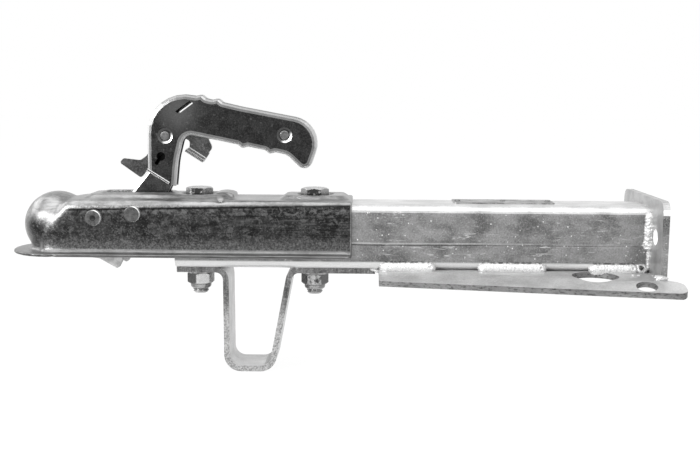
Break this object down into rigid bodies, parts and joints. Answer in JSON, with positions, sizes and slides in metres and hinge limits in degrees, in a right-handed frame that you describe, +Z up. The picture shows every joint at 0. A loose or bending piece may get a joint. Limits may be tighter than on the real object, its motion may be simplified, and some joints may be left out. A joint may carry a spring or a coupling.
{
  "type": "trailer coupling head with drawbar",
  "caption": "Pressed ball coupling head with cam lever handle and trigger, bolted on a square drawbar stub with prop foot, end plate and base plate.",
  "frame": {"origin": "centre of the tow ball's seat in the socket", "axes": "+X runs rearward along the drawbar to the end plate, +Z is up, the XZ plane is the middle plane"},
  "size_m": [0.5592, 0.1802, 0.238],
  "materials": {
    "head_zinc": "bright zinc-plated pressed steel, mottled and smoky",
    "pin_zinc": "zinc-plated turned steel",
    "sleeve_steel": "plain drawn steel",
    "spring_steel": "oiled spring wire",
    "jaw_steel": "zinc-plated forged steel",
    "handle_zinc": "bright zinc-plated pressed steel",
    "trigger_zinc": "zinc-plated plate, satin",
    "rivet_steel": "zinc-plated rivets",
    "bolt_zinc": "zinc-plated fasteners",
    "galvanised": "hot-dip galvanised steel, mottled",
    "weld_zinc": "galvanised weld beads, rough",
    "plate_alu": "thin riveted plate, bare"
  },
  "bodies": {
    "drawbar": {"coupling_head": "head_zinc", "jaw_pin": "pin_zinc", "lever_pin": "pin_zinc", "jaw_spacers": "sleeve_steel", "lever_spacers": "sleeve_steel", "jaw_spring": "spring_steel", "lever_spring_left": "spring_steel", "lever_spring_right": "spring_steel", "head_bolts": "bolt_zinc", "washers": "bolt_zinc", "lock_nuts": "bolt_zinc", "support_foot": "galvanised", "drawbar_tube": "galvanised", "end_plate": "galvanised", "base_plate": "galvanised", "base_welds": "weld_zinc", "end_welds": "weld_zinc", "rating_plate": "plate_alu", "rating_rivets": "rivet_steel"},
    "lever": {"lever": "handle_zinc", "handle": "handle_zinc", "handle_rivet": "rivet_steel", "handle_sleeve": "sleeve_steel", "trigger_rivet": "rivet_steel", "trigger_sleeve": "sleeve_steel", "trigger_spring": "spring_steel"},
    "trigger": {"trigger": "trigger_zinc"},
    "jaw": {"ball_jaw": "jaw_steel"}
  },
  "joints": [
    {"name": "lever_pivot", "type": "hinge", "parent": "drawbar", "child": "lever", "pos_m": [0.0722, 0, 0.0126], "axis": [0, -1, 0], "range_deg": [0, 40]},
    {"name": "trigger_pivot", "type": "hinge", "parent": "lever", "child": "trigger", "pos_m": [0.0959, 0, 0.0769], "axis": [0, -1, 0], "range_deg": [0, 9], "stiffness_Nm_per_rad": 0.5, "springref_deg": -5.73},
    {"name": "jaw_pivot", "type": "hinge", "parent": "drawbar", "child": "jaw", "pos_m": [0.0394, 0, 0.0092], "axis": [0, -1, 0], "range_deg": [0, 20]}
  ],
  "couplings": [
    {"joint": "jaw_pivot", "follows": "lever_pivot", "ratio": 0.5}
  ]
}
